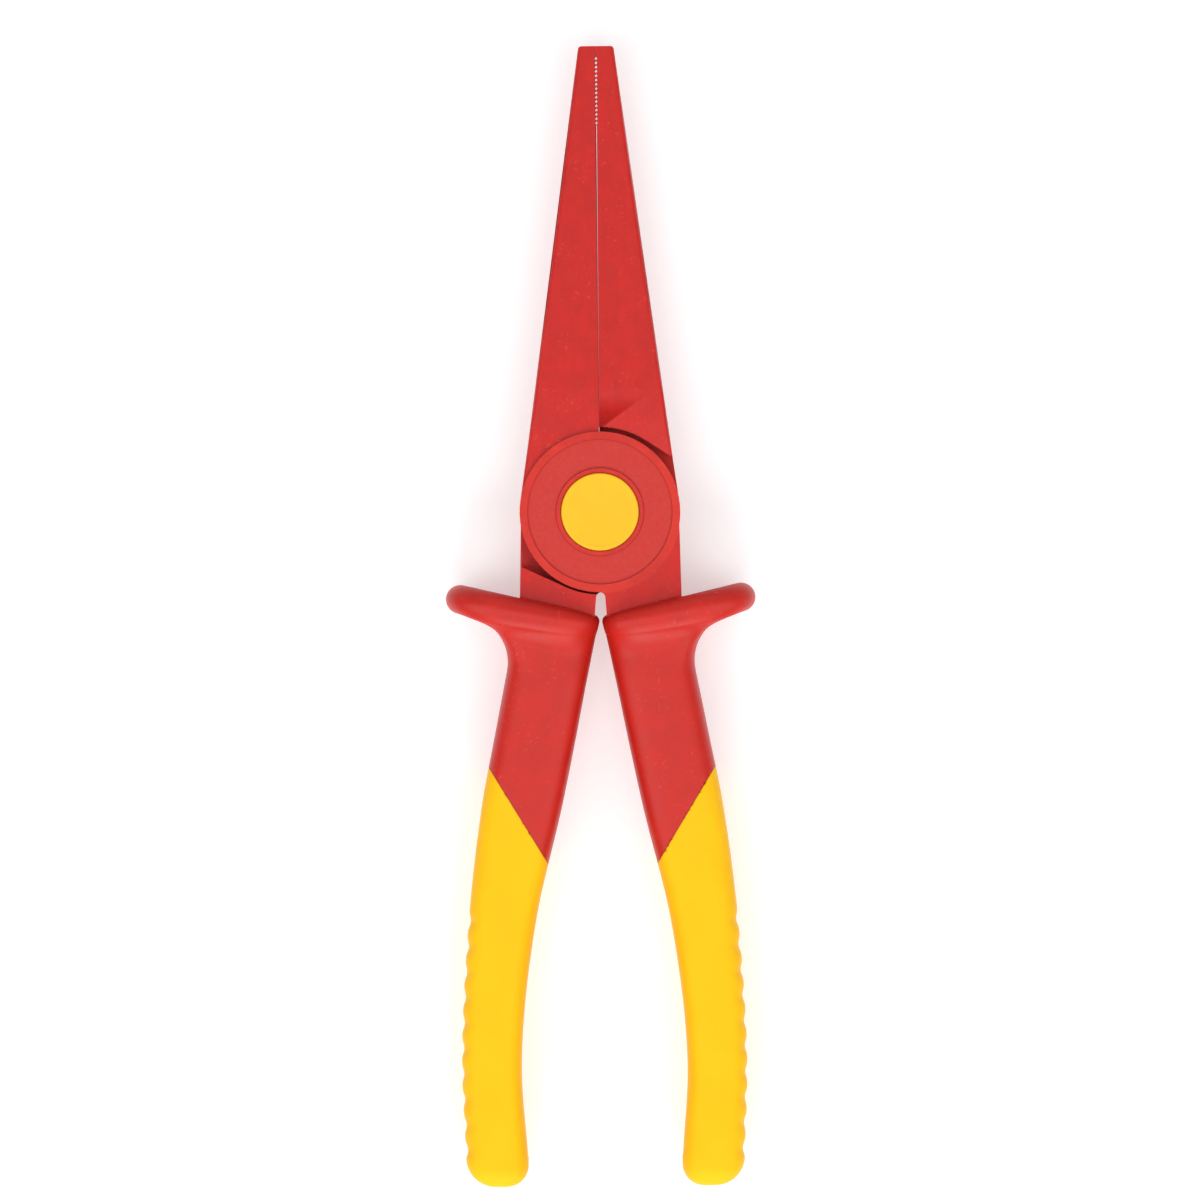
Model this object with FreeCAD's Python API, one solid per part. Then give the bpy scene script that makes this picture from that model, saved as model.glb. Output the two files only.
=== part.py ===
"""Long-nose pliers moulded wholly in plastic, for work near live conductors.

Two half-lapped levers turn on a hollow plastic pivot. Over each lever's tang lies a hard
handle shell with a raised hand guard, and over the lower part of that a soft grip.

The tool lies flat: +Y points to the nose, X runs across the jaws and Z is the pivot axis.
The origin is on the pivot axis, in the back face of the joint. Every piece is first drawn
about the lap plane, halfway through the joint, and lifted by half its thickness at the end.
"""
import FreeCAD, Part
import math
import os

# ---------------------------------------------------------------------------------------
# Driving dimensions, in millimetres and degrees
# ---------------------------------------------------------------------------------------

# Overall reach from the pivot axis
nose_length = 89.9
handle_length = 130.1

# Joint: each lever carries one boss, half as thick as the joint
joint_thickness = 13.0
boss_radius = 15.5
lap_gap = 0.1
rim_width = 1.5
face_recess = 0.3
collar_width = 0.8

# Shoulders: where a lever goes back to full thickness around the other one's boss
jaw_shoulder_gap = 0.9
jaw_shoulder_turn = 33.0
neck_shoulder_gap = 0.45
neck_shoulder_turn = 25.0

# Jaws
jaw_tip_width = 3.4
jaw_tip_thickness = 7.4
jaw_drop = 0.6
jaw_edge_hollow = 0.25
jaw_edge_round = 0.7
jaw_root = 24.0
tip_gap = 0.04
tip_pad = 1.8
tooth_count = 16
tooth_pitch = 0.83
tooth_depth = 0.28
tooth_land = 0.16
tooth_lean = 0.64
tooth_gap = 0.1
relief_gap = 0.38
root_gap = 0.1

# Neck and tang of a lever
neck_inner = 0.9
neck_edge_step = 0.2
crotch_round = 1.1
tang_thickness = 8.4
tang_length = 88.0
tang_inner = 3.2
tang_outer = 14.0
tang_end_width = 4.5

# Hand guard: a rounded rail that leans up towards its free end
guard_reach = 29.9
guard_tip_y = -16.65
guard_width = 5.6
guard_height = 21.0
guard_slope = 13.2
guard_inner = 0.65
guard_corner_outer = 7.0
guard_corner_inner = 4.5
guard_edge_round = 2.7

# Handle in plan: distances of its inner and outer edges from the centreline
handle_thickness = 16.0
handle_edge_round = 3.4
handle_lean = 11.3
flare_radius = 9.0
flare_foot = (18.15, -30.2)
flare_lean = 10.7
knee_y = -56.0
knee_inner = 7.6
knee_outer = 23.2
hip_above_belly = 27.0
hip_inner = 13.05
hip_outer = 26.05
belly_from_end = 24.0
belly_inner = 16.0
belly_outer = 27.55
heel_inner = 14.85
heel_outer = 26.9
heel_round_inner = 4.1
heel_round_outer = 5.6

# Soft grip
grip_skin = 2.0
grip_start = 59.8
grip_slant = 58.8
scallop_count = 10
scallop_pitch = 4.9
scallop_depth = 0.45
scallop_radius = 6.2
scallop_from_end = 7.2

# Pivot: a hollow bolt in a sleeve, and a cap pressed into each end of the bolt
sleeve_radius = 5.0
bolt_radius = 3.2
bolt_hole_radius = 1.6
head_radius = 7.4
head_thickness = 1.7
cap_thickness = 1.45
cap_round = 0.35
cap_sink = 0.05
stub_length = 2.6
seat_clearance = 0.25
running_clearance = 0.06
seated_clearance = 0.04
end_play = 0.05

# ---------------------------------------------------------------------------------------
# Derived sizes
# ---------------------------------------------------------------------------------------

half_joint = joint_thickness / 2
half_handle = handle_thickness / 2
half_tang = tang_thickness / 2
jaw_half_root = half_joint - jaw_drop
neck_outer = boss_radius - neck_edge_step
seat_radius = head_radius + seat_clearance
seat_floor = half_joint - cap_sink - cap_thickness - head_thickness
lap_face = lap_gap / 2
belly_y = belly_from_end - handle_length
hip_y = belly_y + hip_above_belly
guard_half = guard_width / 2
guard_centre_x = guard_reach - guard_half
far = 4 * (nose_length + handle_length)

forward = FreeCAD.Vector(0, 1, 0)
upward = FreeCAD.Vector(0, 0, 1)
origin = FreeCAD.Vector(0, 0, 0)


# ---------------------------------------------------------------------------------------
# Drawing helpers
# ---------------------------------------------------------------------------------------

def at(x, y, z=0.0):
    return FreeCAD.Vector(x, y, z)


def sine(degrees):
    return math.sin(math.radians(degrees))


def cosine(degrees):
    return math.cos(math.radians(degrees))


def line(start, end):
    return Part.makeLine(start, end)


def arc(start, middle, end):
    return Part.Arc(start, middle, end).toShape()


def smooth_curve(points, start_direction, end_direction):
    curve = Part.BSplineCurve()
    curve.interpolate(points, InitialTangent=start_direction, FinalTangent=end_direction)
    return curve.toShape()


def polygon(points):
    return Part.Face(Part.makePolygon(points + points[:1]))


def face_of(edges):
    return Part.Face(Part.Wire(edges))


def prism(face, low, high):
    return face.translated(at(0, 0, low)).extrude(at(0, 0, high - low))


def cylinder(radius, low, high):
    return Part.makeCylinder(radius, high - low, at(0, 0, low), upward)


def ring(outer, inner, low, high):
    return cylinder(outer, low, high).cut(cylinder(inner, low, high))


def joined(first, *others):
    return first.fuse(list(others)).removeSplitter()


def turned_over(shape):
    """The same piece on the other lever: half a turn about the nose-to-handle axis."""
    return shape.rotated(origin, forward, 180)


# ---------------------------------------------------------------------------------------
# Levers
# ---------------------------------------------------------------------------------------

def jaw_plan():
    """Left jaw from above, down to the pivot axis."""
    reach = math.hypot(jaw_tip_width, nose_length)
    tip_turn = math.degrees(math.atan2(jaw_tip_width, nose_length))
    touch_turn = tip_turn + math.degrees(math.acos(boss_radius / reach))
    tip_corner = at(-jaw_tip_width, nose_length)
    touch = at(-boss_radius * sine(touch_turn), boss_radius * cosine(touch_turn))
    outward = at(-cosine(tip_turn), -sine(tip_turn))
    middle = (tip_corner + touch) * 0.5 - outward * jaw_edge_hollow
    pad_y = nose_length - tip_pad
    teeth_end = pad_y - tooth_count * tooth_pitch
    foot = at(-root_gap / 2, 0)
    inner_edge = [
        foot,
        at(-root_gap / 2, jaw_root),
        at(-relief_gap / 2, teeth_end),
        at(-tooth_gap / 2, teeth_end),
        at(-tooth_gap / 2, pad_y),
        at(-tip_gap / 2, pad_y),
        at(-tip_gap / 2, nose_length),
        tip_corner,
    ]
    edges = [arc(tip_corner, middle, touch), line(touch, foot)]
    edges += [line(start, end) for start, end in zip(inner_edge, inner_edge[1:])]
    return face_of(edges)


def jaw_side_profile():
    """Thickness of a jaw seen from the side: even at its root, then thinning to the tip."""
    half_tip = jaw_tip_thickness / 2
    corners = [(-1, jaw_half_root), (jaw_root, jaw_half_root), (nose_length, half_tip)]
    corners.append((nose_length + 1, half_tip))
    above = [at(-far, y, z) for y, z in corners]
    below = [at(-far, y, -z) for y, z in reversed(corners)]
    return polygon(above + below).extrude(at(2 * far, 0, 0))


def tooth_grooves():
    """Slanting notches between the teeth of one jaw."""
    crest = -tooth_gap / 2
    grooves = []
    for number in range(tooth_count):
        top = nose_length - tip_pad - number * tooth_pitch - tooth_land
        bottom = top - (tooth_pitch - tooth_land)
        root = at(crest - tooth_depth, top + (bottom - top) * tooth_lean)
        notch = polygon([at(1, top), at(crest, top), root, at(crest, bottom), at(1, bottom)])
        grooves.append(prism(notch, -half_joint, half_joint))
    return Part.makeCompound(grooves)


def shoulder_pocket(gap, turn, side, end):
    """Room for the other lever's boss: a round seat that runs out straight to one side.

    side is -1 for the left and 1 for the right, end is 1 for the nose and -1 for the handle.
    """
    radius = boss_radius + gap
    leave = at(side * radius * sine(turn), end * radius * cosine(turn))
    run = at(side * cosine(turn), -end * sine(turn)) * (2 * boss_radius)
    run_out = polygon([origin, leave, leave + run, at(leave.x + run.x, 0)])
    round_seat = Part.Face(Part.Wire(Part.makeCircle(radius)))
    pocket = prism(round_seat, -joint_thickness, lap_face)
    return pocket.fuse(prism(run_out, -joint_thickness, lap_face))


def jaw():
    blank = prism(jaw_plan(), -half_joint, half_joint).common(jaw_side_profile())
    rounded = [edge for edge in blank.Edges if is_outer_jaw_edge(edge)]
    blank = blank.makeFillet(jaw_edge_round, rounded)
    blank = blank.cut(tooth_grooves())
    return blank.cut(shoulder_pocket(jaw_shoulder_gap, jaw_shoulder_turn, -1, 1))


def is_outer_jaw_edge(edge):
    """Long edges of the jaw's outer side and its corner at the tip."""
    ends = [vertex.Point for vertex in edge.Vertexes]
    if any(point.x > -jaw_tip_width + 0.01 for point in ends):
        return False
    upright = abs(ends[0].x - ends[1].x) < 0.01 and abs(ends[0].y - ends[1].y) < 0.01
    return not upright or ends[0].y > nose_length - 0.01


def guard_y(x, offset):
    """Height up the tool of a line along the guard, at an offset from its middle."""
    rise = (x - guard_centre_x) * math.tan(math.radians(guard_slope))
    return guard_tip_y + rise + offset / cosine(guard_slope)


def neck():
    plan = polygon([
        at(neck_inner, 0),
        at(neck_outer, 0),
        at(neck_outer, guard_y(neck_outer, guard_half)),
        at(neck_inner, guard_y(neck_inner, guard_half)),
    ])
    blank = prism(plan, -half_joint, half_joint)
    return blank.cut(shoulder_pocket(neck_shoulder_gap, neck_shoulder_turn, 1, -1))


def tang():
    """Straight tapered bar inside the handle shell."""
    middle = handle_middle(-tang_length)
    plan = polygon([
        at(tang_inner, guard_y(tang_inner, guard_half)),
        at(tang_outer, guard_y(tang_outer, guard_half)),
        at(middle + tang_end_width / 2, -tang_length),
        at(middle - tang_end_width / 2, -tang_length),
    ])
    return prism(plan, -half_tang, half_tang)


def lever(bore_clearance):
    """The lever whose boss is in front: left jaw, boss, right neck and right tang."""
    boss = cylinder(boss_radius, lap_face, half_joint)
    body = joined(boss, jaw(), neck(), tang())
    floor = half_joint - face_recess
    collar_radius = seat_radius + collar_width
    body = body.cut(ring(boss_radius - rim_width, collar_radius, floor, joint_thickness))
    body = body.cut(cylinder(sleeve_radius + bore_clearance, -1, joint_thickness))
    body = body.cut(cylinder(seat_radius, seat_floor, joint_thickness))
    return body.makeFillet(crotch_round, [crotch_corner(body)])


def crotch_corner(body):
    """Upright corner where the boss runs into the neck's inner edge."""
    corner_y = -math.sqrt(boss_radius ** 2 - neck_inner ** 2)
    corner = at(neck_inner, corner_y, half_joint / 2)
    return min(body.Edges, key=lambda edge: edge.CenterOfMass.distanceToPoint(corner))


# ---------------------------------------------------------------------------------------
# Handle shells and soft grips
# ---------------------------------------------------------------------------------------

def outer_edge(inset=0.0):
    """Outer edge of a handle, from the guard's flare to the heel."""
    foot_x, foot_y = flare_foot
    heel_y = heel_round_outer - handle_length
    points = [
        at(foot_x - inset, foot_y),
        at(knee_outer - inset, knee_y),
        at(hip_outer - inset, hip_y),
        at(belly_outer - inset, belly_y),
        at(heel_outer - inset, heel_y),
    ]
    return smooth_curve(points, at(sine(flare_lean), -cosine(flare_lean)), at(0, -1))


def inner_edge(inset=0.0):
    """Inner edge of a handle, from below the guard to the heel."""
    start_y = guard_y(guard_inner, -guard_half)
    start_x = knee_inner + (knee_y - start_y) * math.tan(math.radians(handle_lean))
    heel_y = heel_round_inner - handle_length
    points = [
        at(start_x + inset, start_y),
        at(knee_inner + inset, knee_y),
        at(hip_inner + inset, hip_y),
        at(belly_inner + inset, belly_y),
        at(heel_inner + inset, heel_y),
    ]
    return smooth_curve(points, at(sine(handle_lean), -cosine(handle_lean)), at(0, -1))


def handle_middle(y):
    """Halfway between the two edges of a handle, at one height."""
    return (edge_x(inner_edge(), y) + edge_x(outer_edge(), y)) / 2


def edge_x(edge, y):
    level = line(at(-guard_reach, y), at(2 * guard_reach, y))
    return edge.distToShape(level)[1][0][0].x


def heel_edges(inset):
    """Rounded lower end of a handle, from its outer edge to its inner edge."""
    end_y = inset - handle_length
    outer_x = heel_outer - inset
    inner_x = heel_inner + inset
    outer_round = heel_round_outer - inset
    inner_round = heel_round_inner - inset
    outer_centre = at(outer_x - outer_round, end_y + outer_round)
    inner_centre = at(inner_x + inner_round, end_y + inner_round)
    diagonal = math.sqrt(0.5)
    outer_end = outer_centre + at(0, -outer_round)
    inner_start = inner_centre + at(0, -inner_round)
    return [
        arc(
            outer_centre + at(outer_round, 0),
            outer_centre + at(diagonal, -diagonal) * outer_round,
            outer_end,
        ),
        line(outer_end, inner_start),
        arc(
            inner_start,
            inner_centre + at(-diagonal, -diagonal) * inner_round,
            inner_centre + at(-inner_round, 0),
        ),
    ]


def flare_edge():
    """Hollow curve from the handle's outer edge out to the underside of the guard."""
    foot = at(*flare_foot)
    centre = foot + at(cosine(flare_lean), sine(flare_lean)) * flare_radius
    top_turn = 90 + guard_slope
    foot_turn = 180 + flare_lean
    middle_turn = (top_turn + foot_turn) / 2
    top = centre + at(cosine(top_turn), sine(top_turn)) * flare_radius
    middle = centre + at(cosine(middle_turn), sine(middle_turn)) * flare_radius
    return arc(top, middle, foot), top


def handle_plan():
    """A handle from above, from the heel to well past the guard."""
    inner = inner_edge()
    outer = outer_edge()
    inner_start = inner.Vertexes[0].Point
    upward_run = at(-sine(handle_lean), cosine(handle_lean)) * (4 * guard_width)
    inner_top = inner_start + upward_run
    flare, flare_top = flare_edge()
    shelf_end = flare_top + at(cosine(guard_slope), sine(guard_slope)) * guard_half
    shelf_top = at(shelf_end.x, inner_top.y)
    return face_of([
        line(inner_top, inner_start),
        inner,
        *reversed(heel_edges(0)),
        outer,
        flare,
        line(flare_top, shelf_end),
        line(shelf_end, shelf_top),
        line(shelf_top, inner_top),
    ])


def handle_body():
    """Handle with its long edges rounded over, cut off along the top of the guard."""
    blank = prism(handle_plan(), -half_handle, half_handle)
    rounded = blank.makeFillet(handle_edge_round, [e for e in blank.Edges if is_rim(e)])
    left_end = at(-guard_reach, guard_y(-guard_reach, guard_half))
    right_end = at(2 * guard_reach, guard_y(2 * guard_reach, guard_half))
    above = polygon([left_end, right_end, at(right_end.x, far), at(left_end.x, far)])
    return rounded.cut(prism(above, -handle_thickness, handle_thickness))


def is_rim(edge):
    """Edges of the front and back faces below the guard."""
    box = edge.BoundBox
    return box.ZLength < 0.01 and box.YMin < guard_tip_y - guard_width


def guard():
    """Rounded rail across the top of a handle."""
    inner_end = (guard_inner - guard_centre_x) / cosine(guard_slope)
    length = guard_half - inner_end
    rail = Part.makeBox(length, guard_width, guard_height)
    rail.translate(at(inner_end, -guard_half, -guard_height / 2))
    upright = [edge for edge in rail.Edges if edge.BoundBox.YLength > guard_width / 2]
    inner_corners = [edge for edge in upright if edge.CenterOfMass.x < 0]
    rail = rail.makeFillet(guard_corner_inner, inner_corners)
    upright = [e for e in rail.Edges if e.BoundBox.YLength > guard_width / 2]
    outer_corners = [e for e in upright if e.CenterOfMass.x > guard_half - 0.01]
    rail = rail.makeFillet(guard_corner_outer, outer_corners)
    rims = [edge for edge in rail.Edges if edge.BoundBox.YLength < 0.01]
    rail = rail.makeFillet(guard_edge_round, rims)
    rail.rotate(origin, upward, guard_slope)
    rail.translate(at(guard_centre_x, guard_tip_y))
    return rail


def grip_zone():
    """Everything below the slanting line where the soft grip begins."""
    middle = at((knee_inner + knee_outer) / 2, -grip_start)
    along = at(cosine(grip_slant), sine(grip_slant)) * boss_radius * 2
    upper = middle + along
    lower = middle - along
    floor = -2 * handle_length
    plan = polygon([upper, lower, at(lower.x, floor), at(far, floor), at(far, upper.y)])
    return prism(plan, -joint_thickness, joint_thickness)


def core():
    """Hard core of a handle inside the soft grip."""
    inner = inner_edge(grip_skin)
    outer = outer_edge(grip_skin)
    top = line(outer.Vertexes[0].Point, inner.Vertexes[0].Point)
    plan = face_of([inner, *reversed(heel_edges(grip_skin)), outer, top])
    reach = half_handle - grip_skin
    return prism(plan, -reach, reach).common(grip_zone())


def handle_shell():
    """Hard shell over the right tang, with its hand guard."""
    upper = handle_body().cut(grip_zone())
    return joined(upper, guard(), core()).cut(tang())


def scallops():
    """Shallow hollows down the outer edge of a grip."""
    first = scallop_from_end - handle_length
    edge = outer_edge()
    cutters = []
    for number in range(scallop_count):
        y = first + number * scallop_pitch
        x = edge_x(edge, y) - scallop_depth + scallop_radius
        centre = at(x, y, -handle_thickness)
        cutters.append(Part.makeCylinder(scallop_radius, 2 * handle_thickness, centre))
    return Part.makeCompound(cutters)


def soft_grip():
    """Soft sleeve over the lower part of the right handle."""
    return handle_body().common(grip_zone()).cut(core()).cut(scallops())


# ---------------------------------------------------------------------------------------
# Pivot
# ---------------------------------------------------------------------------------------

def pivot_sleeve():
    """Tube that both levers sit on, with its head seated in the back lever."""
    hole = bolt_radius + seated_clearance
    tube = cylinder(sleeve_radius, -seat_floor, seat_floor - end_play)
    head = cylinder(head_radius, -seat_floor - head_thickness, -seat_floor)
    through = cylinder(hole, -joint_thickness, joint_thickness)
    return joined(tube, head).cut(through)


def pivot_bolt():
    """Hollow bolt through the sleeve, with its head over the front lever."""
    head = cylinder(head_radius, seat_floor, seat_floor + head_thickness)
    shank = cylinder(bolt_radius, -seat_floor - head_thickness, seat_floor)
    through = cylinder(bolt_hole_radius, -joint_thickness, joint_thickness)
    return joined(head, shank).cut(through)


def pivot_cap():
    """Front cap: a flat lid with a stub pressed into the hollow bolt."""
    seat = seat_floor + head_thickness
    lid = cylinder(head_radius, seat, seat + cap_thickness)
    rim = max(lid.Edges, key=lambda edge: edge.CenterOfMass.z)
    lid = lid.makeFillet(cap_round, [rim])
    stub = cylinder(bolt_hole_radius - seated_clearance, seat - stub_length, seat)
    return joined(lid, stub)


# ---------------------------------------------------------------------------------------
# Export
# ---------------------------------------------------------------------------------------

def save(name, shape):
    """Write one piece, lifted so that the joint's back face lies at zero."""
    shape.translated(at(0, 0, half_joint)).exportStep("parts/" + name + ".step")


def build():
    os.makedirs("parts", exist_ok=True)
    shell = handle_shell()
    grip = soft_grip()
    cap = pivot_cap()
    save("front_lever", lever(running_clearance))
    save("back_lever", turned_over(lever(seated_clearance)))
    save("front_handle_shell", shell)
    save("back_handle_shell", turned_over(shell))
    save("front_soft_grip", grip)
    save("back_soft_grip", turned_over(grip))
    save("pivot_sleeve", pivot_sleeve())
    save("pivot_bolt", pivot_bolt())
    save("front_pivot_cap", cap)
    save("back_pivot_cap", turned_over(cap))


build()
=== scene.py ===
"""Looks for a pair of all-plastic long-nose pliers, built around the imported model.

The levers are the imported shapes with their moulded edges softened. Handle shells and soft
grips are drawn again as one smooth blank and parted where the grip begins, and the caps as
turned lids. Each is drawn for the front and turned over for the back.
"""

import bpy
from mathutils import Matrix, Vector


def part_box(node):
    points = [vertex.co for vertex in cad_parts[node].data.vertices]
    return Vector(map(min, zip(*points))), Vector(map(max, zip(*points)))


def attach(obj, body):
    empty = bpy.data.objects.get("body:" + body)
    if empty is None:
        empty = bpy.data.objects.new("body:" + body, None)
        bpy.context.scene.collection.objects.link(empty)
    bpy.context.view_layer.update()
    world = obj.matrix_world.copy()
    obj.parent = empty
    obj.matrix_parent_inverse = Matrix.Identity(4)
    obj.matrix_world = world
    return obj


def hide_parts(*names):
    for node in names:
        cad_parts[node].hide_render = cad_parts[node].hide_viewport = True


bl_info = {
    "name": "Insulated long-nose pliers",
    "version": (1, 0, 0),
    "blender": (4, 5, 0),
    "location": "View3D > Sidebar > Pliers",
    "description": "Builds the visible pieces of all-plastic long-nose pliers",
    "category": "Add Mesh",
}

import math

import bmesh
import bpy
from bpy.props import FloatProperty, FloatVectorProperty, IntProperty, PointerProperty
from mathutils import Matrix, Vector

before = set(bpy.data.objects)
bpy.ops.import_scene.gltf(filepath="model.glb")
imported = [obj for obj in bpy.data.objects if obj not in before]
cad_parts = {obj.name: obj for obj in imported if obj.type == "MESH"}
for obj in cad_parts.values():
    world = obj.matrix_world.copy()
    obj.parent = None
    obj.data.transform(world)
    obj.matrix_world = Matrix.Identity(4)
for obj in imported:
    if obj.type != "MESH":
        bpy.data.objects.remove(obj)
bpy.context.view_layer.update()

MM = 0.001
LAP_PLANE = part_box("front_lever")[1].z / 2
GRIP_LOW, GRIP_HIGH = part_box("front_soft_grip")
SHELL_LOW, SHELL_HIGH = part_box("front_handle_shell")
CAP_LOW, CAP_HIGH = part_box("front_pivot_cap")
LEVER_BODIES = {"front": "front_half", "back": "back_half"}
PIVOT_BODIES = {"front": "back_half", "back": "back_half"}

# Joint: the sunk ring lies between the collar round the lid and the raised rim
COLLAR_RADIUS = 8.45 * MM
RIM_RADIUS = 14.0 * MM
BOSS_RADIUS = 15.5 * MM

# Guard, in millimetres: how far out it reaches, the height of that end, and its inner end
GUARD_REACH, GUARD_END_Y, GUARD_INNER_X = 29.9, -16.65, 0.65

# Middle of the handle where the slanting seam crosses it
SEAM_X = 15.4 * MM

# Points closer than these are one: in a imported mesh, after a bevel, and at a cut
MERGE, SLIVER, SNAP = 0.002 * MM, 0.003 * MM, 0.001 * MM


# -----------------------------------------------------------------------------------------
# Sizes and colours a user would change
# -----------------------------------------------------------------------------------------

def length(name, default, description):
    return FloatProperty(
        name=name, description=description, default=default, min=0.0,
        precision=5, unit="LENGTH", subtype="DISTANCE",
    )


def angle(name, degrees, description):
    return FloatProperty(
        name=name, description=description, default=math.radians(degrees),
        unit="ROTATION", subtype="ANGLE",
    )


def colour(name, default, description):
    return FloatVectorProperty(
        name=name, description=description, default=default, size=3,
        min=0.0, max=1.0, subtype="COLOR",
    )


class PliersLeverSizes(bpy.types.PropertyGroup):
    edge_round: length("Edge rounding", 0.18 * MM, "Rounding of the levers' moulded edges")
    draft: length("Draft", 0.12 * MM, "How far the lower half of a jaw's inner face leans out")
    root: length("Root", 1.6 * MM, "How far the neck runs into the guard")


class PliersHandleSizes(bpy.types.PropertyGroup):
    thickness: length("Thickness", GRIP_HIGH.z - GRIP_LOW.z, "Handle, front to back")
    squareness: FloatProperty(
        name="Squareness", description="How square a section is: 2 is an ellipse",
        default=4.4, min=2.0, max=12.0,
    )
    guard_height: length("Guard height", SHELL_HIGH.z - SHELL_LOW.z, "Guard, front to back")
    guard_width: length("Guard width", 5.6 * MM, "Guard, along the handle")
    guard_slope: angle("Guard slope", 13.2, "Rise of the guard towards its free end")
    guard_crown: length("Guard crown", 5.0 * MM, "Rounding of the guard's front")
    guard_brow: length("Guard brow", 1.0 * MM, "Rounding of the guard's front next to the handle")
    guard_shoulder: angle("Guard shoulder", 44.0, "Lean of the handle's face where the guard begins")
    guard_corner: length("Guard corner", 1.3 * MM, "Rounding of the guard's inner top corner")
    flare_radius: length("Flare radius", 9.0 * MM, "Hollow from handle edge to guard")


class PliersGripSizes(bpy.types.PropertyGroup):
    start: length("Start", 59.8 * MM, "Middle of the grip's upper edge, from the pivot")
    slant: angle("Slant", 58.8, "Lean of the grip's upper edge")
    seam_round: length("Seam rounding", 0.16 * MM, "Rounding where shell and grip meet")
    scallop_count: IntProperty(
        name="Scallops", description="Hollows down the outer edge", default=10, min=0,
    )
    scallop_pitch: length("Scallop pitch", 4.9 * MM, "From one hollow to the next")
    scallop_depth: length("Scallop depth", 0.43 * MM, "Depth of a hollow")


class PliersCapSizes(bpy.types.PropertyGroup):
    edge_round: length("Edge rounding", 0.35 * MM, "Rounding of the lid's edge")
    dish: length("Dish", 0.07 * MM, "Depth of the lid's face inside its rim")
    rim: length("Rim", 0.55 * MM, "Width of the lid's rim")
    rim_slope: length("Rim slope", 0.25 * MM, "Width of the slope inside the rim")
    spread: length("Spread", 0.17 * MM, "How far the pressed-in lid swells in its seat")
    lid: length("Lid", 1.45 * MM, "Thickness of the lid")
    stub_radius: length("Stub radius", 1.56 * MM, "Stub under the lid")
    stub_chamfer: length("Stub chamfer", 0.3 * MM, "Chamfer at the stub's end")


class PliersFinishes(bpy.types.PropertyGroup):
    lever_red: colour("Lever red", (0.560, 0.0130, 0.0085), "Glass-filled plastic")
    shell_red: colour("Shell red", (0.550, 0.0150, 0.0080), "Handle shells and guards")
    grip_yellow: colour("Grip yellow", (0.98, 0.522, 0.003), "Soft grips")
    cap_yellow: colour("Cap yellow", (0.97, 0.508, 0.014), "Pivot caps")
    fleck: colour("Fibre flecks", (0.74, 0.105, 0.085), "Glass fibres near the surface")


# -----------------------------------------------------------------------------------------
# Materials
# -----------------------------------------------------------------------------------------

# Colours that the finishes mix in
RING_DARK, RING_PALE = (0.540, 0.022, 0.015), (0.600, 0.054, 0.043)
# Painted light: the first colour below is a painted highlight for rim and collar, the second painted
# shade for the sunk ring's corners
PAINTED_HIGHLIGHT_RED, PAINTED_CREASE_SHADE = (0.640, 0.028, 0.013), (0.30, 0.007, 0.007)
SEAM_RED, SEAM_YELLOW = (0.20, 0.012, 0.006), (0.50, 0.13, 0.004)
# The second colour below is painted shade round the lid's edge
GRIP_SHADE, CAP_EDGE_SHADE = (0.97, 0.498, 0.002), (0.62, 0.19, 0.008)
PIVOT_DARK, PIVOT_PALE = (0.022, 0.021, 0.020), (0.045, 0.042, 0.040)
BOARD_DARK, BOARD_PALE = (0.67, 0.67, 0.67), (0.70, 0.70, 0.699)
BOARD_GLOW = 0.42

# Sockets of a Mix node that carry colours
MIX_FIRST, MIX_SECOND, MIX_RESULT = 6, 7, 2


class Wire:
    """A socket's value, so that shader maths reads as Python."""

    def __init__(self, finish, socket):
        self.finish = finish
        self.socket = socket

    def maths(self, operation, *values):
        return self.finish.node("ShaderNodeMath", {"operation": operation}, values)

    def __add__(self, other):
        return self.maths("ADD", self, other)

    def __radd__(self, other):
        return self.maths("ADD", other, self)

    def __sub__(self, other):
        return self.maths("SUBTRACT", self, other)

    def __rsub__(self, other):
        return self.maths("SUBTRACT", other, self)

    def __mul__(self, other):
        return self.maths("MULTIPLY", self, other)

    def __rmul__(self, other):
        return self.maths("MULTIPLY", other, self)

    def __abs__(self):
        return self.maths("ABSOLUTE", self)


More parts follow.
